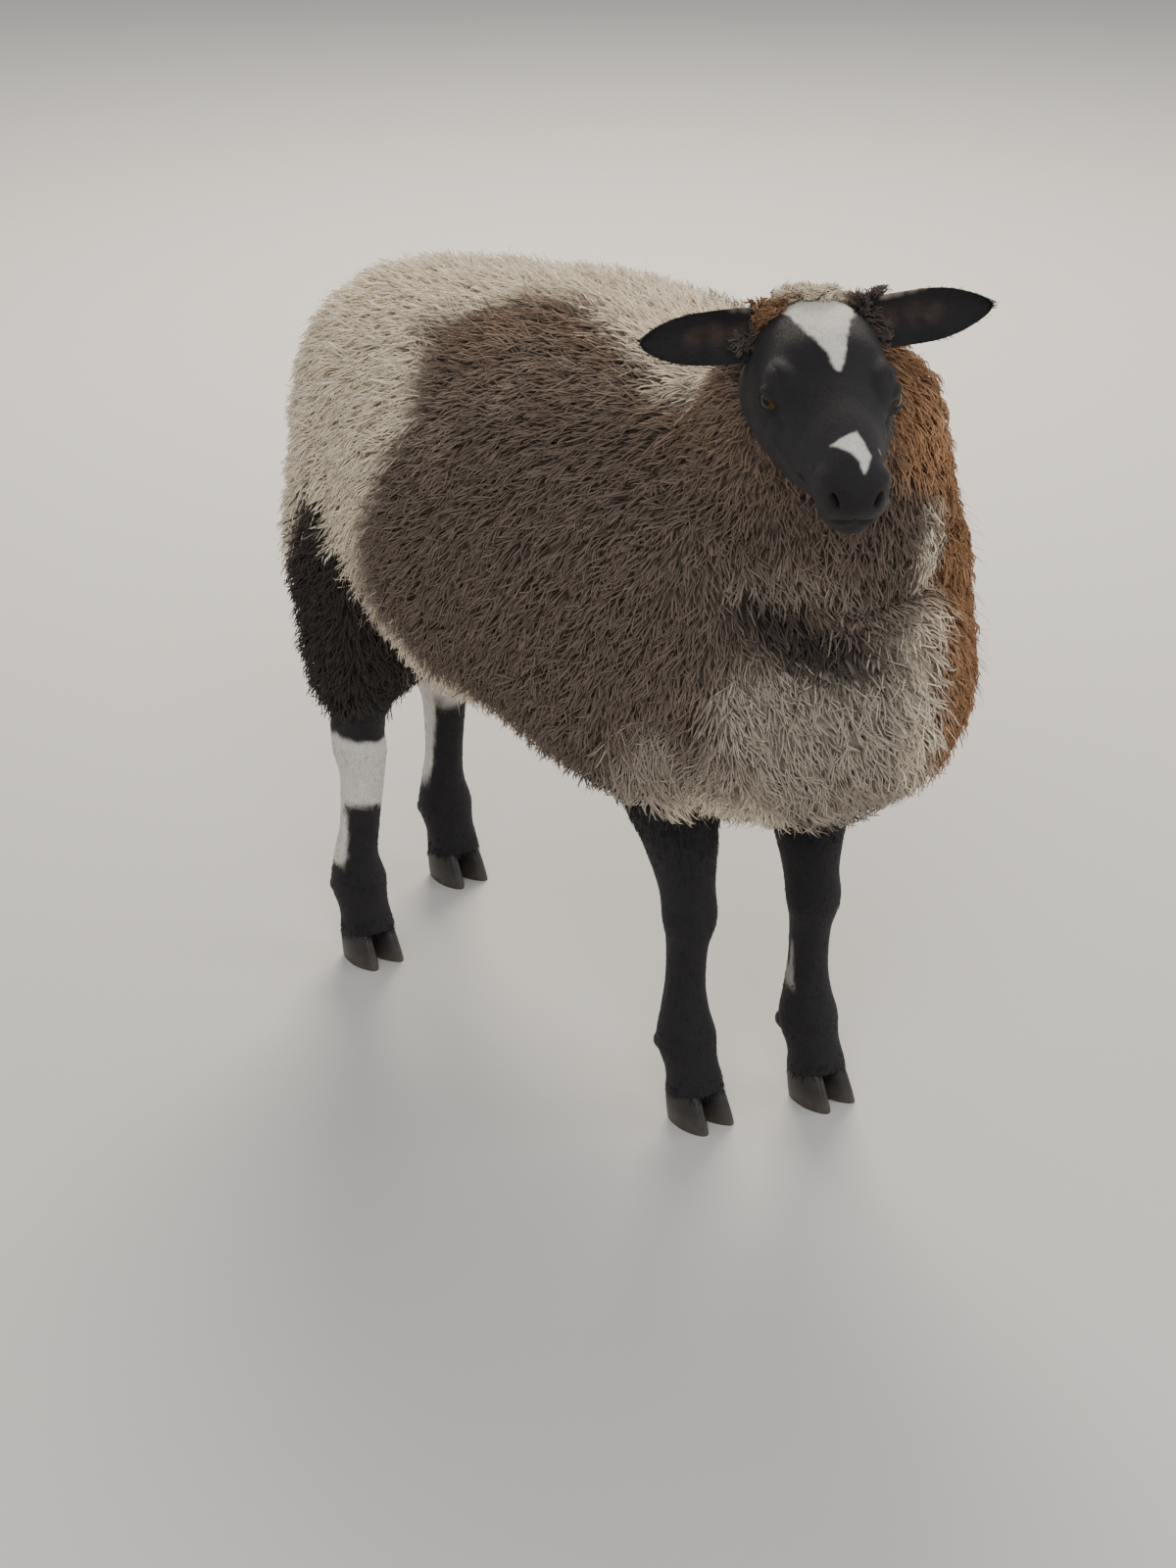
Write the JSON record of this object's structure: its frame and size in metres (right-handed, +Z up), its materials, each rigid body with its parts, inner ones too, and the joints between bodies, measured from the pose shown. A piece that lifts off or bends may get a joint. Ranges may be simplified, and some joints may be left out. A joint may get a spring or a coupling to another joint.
{
  "type": "standing sheep figure",
  "caption": "Life-size still model of a hornless spotted ram in full fleece, standing square with its head turned to its right",
  "frame": {"origin": "On the ground under the body, at the middle of the bounding box's base", "axes": "+Z up, -Y the way the body faces, +X the ram's left side"},
  "size_m": [0.48, 1.0962, 0.9339],
  "materials": {
    "wool": "cream-white and chocolate wool in open, softly crimped tufts, with sun-bleached rusty tips",
    "short_hair": "short, close, faintly glossy black hair with white markings on the face and hind legs",
    "horn": "dark, slightly worn hoof horn",
    "eye": "wet amber-brown eye with a wide dark pupil",
    "scrotum_wool": "short dark woolly hair"
  },
  "bodies": {
    "root": {"claw_fore_left_inner": "horn", "claw_fore_left_outer": "horn", "claw_fore_right_inner": "horn", "claw_fore_right_outer": "horn", "claw_hind_left_inner": "horn", "claw_hind_left_outer": "horn", "claw_hind_right_inner": "horn", "claw_hind_right_outer": "horn", "dewclaw_fore_left_inner": "horn", "dewclaw_fore_left_outer": "horn", "dewclaw_fore_right_inner": "horn", "dewclaw_fore_right_outer": "horn", "dewclaw_hind_left_inner": "horn", "dewclaw_hind_left_outer": "horn", "dewclaw_hind_right_inner": "horn", "dewclaw_hind_right_outer": "horn", "ear_left": "short_hair", "ear_right": "short_hair", "eye_left": "eye", "eye_right": "eye", "foreleg_left_lower": "short_hair", "foreleg_left_upper": "short_hair", "foreleg_right_lower": "short_hair", "foreleg_right_upper": "short_hair", "head": "short_hair", "hindleg_left_lower": "short_hair", "hindleg_left_thigh": "wool", "hindleg_left_upper": "short_hair", "hindleg_right_lower": "short_hair", "hindleg_right_thigh": "wool", "hindleg_right_upper": "short_hair", "neck": "wool", "scrotum": "scrotum_wool", "tail": "wool", "torso": "wool"}
  },
  "joints": []
}
